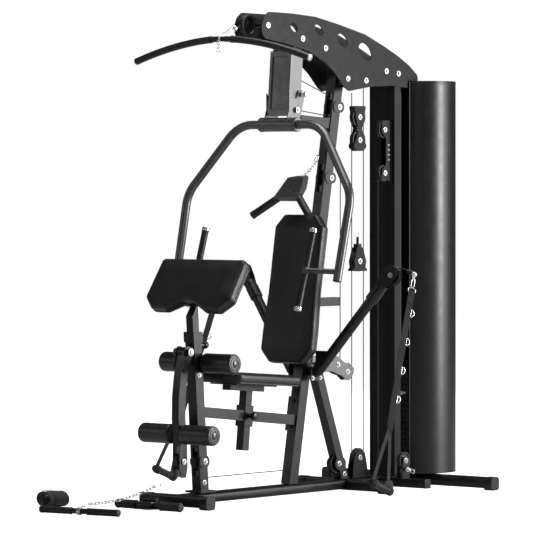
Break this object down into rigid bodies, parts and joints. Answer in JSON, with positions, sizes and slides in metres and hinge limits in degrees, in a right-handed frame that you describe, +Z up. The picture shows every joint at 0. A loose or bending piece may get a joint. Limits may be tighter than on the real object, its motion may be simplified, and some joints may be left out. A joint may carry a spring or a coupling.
{
  "type": "multi station home gym",
  "caption": "Home gym with a weight tower, press arm, lat pull-down bar, preacher desk, leg developer, seat, side cable arms and a low row bar.",
  "frame": {"origin": "on the floor below the middle of the overall box", "axes": "+Z up; -Y the way the user faces; +Y towards the weight tower; +X to the right of somebody who looks along +Y"},
  "size_m": [1.262, 2.3826, 2.12],
  "materials": {
    "chrome": "polished chrome",
    "coat": "satin black powder coat",
    "foam": "black closed-cell foam",
    "iron": "black painted iron",
    "nylon": "black nylon",
    "rubber": "black rubber",
    "satin": "dark grey satin powder coat",
    "steel": "bright zinc-plated steel",
    "vinyl": "black upholstery vinyl",
    "webbing": "black webbing"
  },
  "bodies": {
    "frame": {"ankle_cuff": "webbing", "base_rail": "coat", "cable_low": "rubber", "cable_tower": "rubber", "column_pulley_bracket": "satin", "floor_pulley_bracket": "satin", "foot_rest": "coat", "front_post": "coat", "front_stabiliser": "coat", "guide_rods": "steel", "main_upright": "coat", "mid_stabiliser": "coat", "rear_brace": "coat", "rear_column": "coat", "rear_stabiliser": "coat", "seat_back_pulley_bracket": "satin", "seat_rail": "coat", "side_arm_left": "coat", "side_arm_right": "coat", "top_plate_left": "coat", "top_plate_right": "coat", "weight_plates_resting": "iron", "weight_shroud": "coat"},
    "press_column": {"press_column": "satin"},
    "press_lower": {"press_yoke": "satin", "press_handle": "satin", "press_grip_left": "rubber", "press_grip_right": "rubber"},
    "press_pin": {"press_pin": "chrome"},
    "leg_developer": {"leg_developer": "coat"},
    "roller_upper_left": {"roller_upper_left": "foam"},
    "roller_upper_right": {"roller_upper_right": "foam"},
    "roller_lower_left": {"roller_lower_left": "foam"},
    "roller_lower_right": {"roller_lower_right": "foam"},
    "pulley_leg": {"pulley_leg": "nylon"},
    "preacher": {"preacher_post": "coat", "preacher_pad": "vinyl"},
    "preacher_pin": {"preacher_pin": "steel"},
    "seat": {"seat_post": "coat", "seat_pad": "vinyl"},
    "seat_pin": {"seat_pin": "steel"},
    "backrest": {"backrest_adjuster": "coat", "backrest_pad": "vinyl"},
    "arm_head_left": {"arm_head_left": "satin"},
    "arm_head_right": {"arm_head_right": "satin"},
    "strap_left": {"strap_left": "webbing"},
    "strap_right": {"strap_right": "webbing"},
    "lat_bar": {"lat_bar": "coat"},
    "v_handle": {"v_handle": "rubber"},
    "low_bar": {"low_bar": "coat", "low_chain": "chrome"},
    "weight_lift": {"weight_plates_lifted": "iron"},
    "selector_pin": {"selector_pin": "chrome"},
    "floating_block": {"floating_block": "satin"},
    "pulley_block_upper": {"pulley_block_upper": "nylon"},
    "pulley_block_lower": {"pulley_block_lower": "nylon"},
    "hook_block": {"hook_block": "satin"},
    "pulley_hook": {"pulley_hook": "nylon"},
    "pulley_top_front": {"pulley_top_front": "nylon"},
    "pulley_top_rear": {"pulley_top_rear": "nylon"}
  },
  "joints": [
    {"name": "press_swing", "type": "hinge", "parent": "frame", "child": "press_column", "pos_m": [0, 0.09227, 2.01], "axis": [-1, 0, 0], "range_deg": [0, 25]},
    {"name": "press_start", "type": "hinge", "parent": "press_column", "child": "press_lower", "pos_m": [0, 0.06927, 1.697], "axis": [-1, 0, 0], "range_deg": [-15, 4]},
    {"name": "press_pin_pull", "type": "slide", "parent": "press_lower", "child": "press_pin", "axis": [1, 0, 0], "range_m": [0, 0.012]},
    {"name": "leg_swing", "type": "hinge", "parent": "frame", "child": "leg_developer", "pos_m": [0, -0.60173, 0.66], "axis": [-1, 0, 0], "range_deg": [0, 80]},
    {"name": "roller_upper_left_spin", "type": "hinge", "parent": "frame", "child": "roller_upper_left", "pos_m": [-0.12, -0.49773, 0.611], "axis": [1, 0, 0], "continuous": true},
    {"name": "roller_upper_right_spin", "type": "hinge", "parent": "frame", "child": "roller_upper_right", "pos_m": [0.12, -0.49773, 0.611], "axis": [1, 0, 0], "continuous": true},
    {"name": "roller_lower_left_spin", "type": "hinge", "parent": "leg_developer", "child": "roller_lower_left", "pos_m": [-0.12, -0.63273, 0.313], "axis": [1, 0, 0], "continuous": true},
    {"name": "roller_lower_right_spin", "type": "hinge", "parent": "leg_developer", "child": "roller_lower_right", "pos_m": [0.12, -0.63273, 0.313], "axis": [1, 0, 0], "continuous": true},
    {"name": "pulley_leg_spin", "type": "hinge", "parent": "leg_developer", "child": "pulley_leg", "pos_m": [0, -0.62373, 0.196], "axis": [1, 0, 0], "continuous": true},
    {"name": "preacher_height", "type": "slide", "parent": "frame", "child": "preacher", "axis": [0, -0.0729, 0.9973], "range_m": [-0.045, 0.06]},
    {"name": "preacher_pin_pull", "type": "slide", "parent": "frame", "child": "preacher_pin", "axis": [0, 1, 0], "range_m": [0, 0.012]},
    {"name": "seat_height", "type": "slide", "parent": "frame", "child": "seat", "axis": [0, 0.1029, 0.9947], "range_m": [-0.05, 0.03]},
    {"name": "seat_pin_pull", "type": "slide", "parent": "frame", "child": "seat_pin", "axis": [1, 0, 0], "range_m": [0, 0.012]},
    {"name": "backrest_depth", "type": "slide", "parent": "frame", "child": "backrest", "axis": [0, -1, 0], "range_m": [0, 0.06]},
    {"name": "arm_head_left_swivel", "type": "hinge", "parent": "frame", "child": "arm_head_left", "pos_m": [-0.3625, 0.27727, 0.91], "axis": [-0.6154, 0.1418, 0.7754], "range_deg": [-90, 90]},
    {"name": "arm_head_right_swivel", "type": "hinge", "parent": "frame", "child": "arm_head_right", "pos_m": [0.3625, 0.27727, 0.91], "axis": [0.6154, 0.1418, 0.7754], "range_deg": [-90, 90]},
    {"name": "strap_left_swing", "type": "hinge", "parent": "frame", "child": "strap_left", "pos_m": [-0.545, 0.28027, 0.925], "axis": [1, 0, 0], "range_deg": [-20, 20]},
    {"name": "strap_right_swing", "type": "hinge", "parent": "frame", "child": "strap_right", "pos_m": [0.545, 0.28027, 0.925], "axis": [1, 0, 0], "range_deg": [-20, 20]},
    {"name": "lat_pull", "type": "slide", "parent": "frame", "child": "lat_bar", "axis": [0, -0.342, -0.9397], "range_m": [0, 0.45]},
    {"name": "v_handle_pull", "type": "slide", "parent": "frame", "child": "v_handle", "axis": [0, -1, 0], "range_m": [0, 0.35]},
    {"name": "low_bar_pull", "type": "slide", "parent": "frame", "child": "low_bar", "axis": [0, -1, 0], "range_m": [0, 0.3]},
    {"name": "stack_lift", "type": "slide", "parent": "frame", "child": "weight_lift", "axis": [0, 0, 1], "range_m": [0, 0.23]},
    {"name": "selector_pin_pull", "type": "slide", "parent": "weight_lift", "child": "selector_pin", "axis": [0, -1, 0], "range_m": [0, 0.06]},
    {"name": "floating_block_drop", "type": "slide", "parent": "frame", "child": "floating_block", "axis": [0, 0, -1], "range_m": [0, 0.12]},
    {"name": "pulley_block_upper_spin", "type": "hinge", "parent": "floating_block", "child": "pulley_block_upper", "pos_m": [0, 0.58227, 1.672], "axis": [1, 0, 0], "continuous": true},
    {"name": "pulley_block_lower_spin", "type": "hinge", "parent": "floating_block", "child": "pulley_block_lower", "pos_m": [0, 0.58227, 1.569], "axis": [1, 0, 0], "continuous": true},
    {"name": "hook_block_rise", "type": "slide", "parent": "frame", "child": "hook_block", "axis": [0, 0, 1], "range_m": [0, 0.12]},
    {"name": "pulley_hook_spin", "type": "hinge", "parent": "hook_block", "child": "pulley_hook", "pos_m": [0, 0.58227, 1.026], "axis": [1, 0, 0], "continuous": true},
    {"name": "pulley_top_front_spin", "type": "hinge", "parent": "frame", "child": "pulley_top_front", "pos_m": [0, -0.18073, 2.063], "axis": [1, 0, 0], "continuous": true},
    {"name": "pulley_top_rear_spin", "type": "hinge", "parent": "frame", "child": "pulley_top_rear", "pos_m": [0, 0.58227, 1.852], "axis": [1, 0, 0], "continuous": true}
  ],
  "couplings": [
    {"joint": "stack_lift", "follows": "lat_pull", "ratio": 0.5},
    {"joint": "floating_block_drop", "follows": "lat_pull", "ratio": 0.25},
    {"joint": "hook_block_rise", "follows": "lat_pull", "ratio": 0.25}
  ]
}
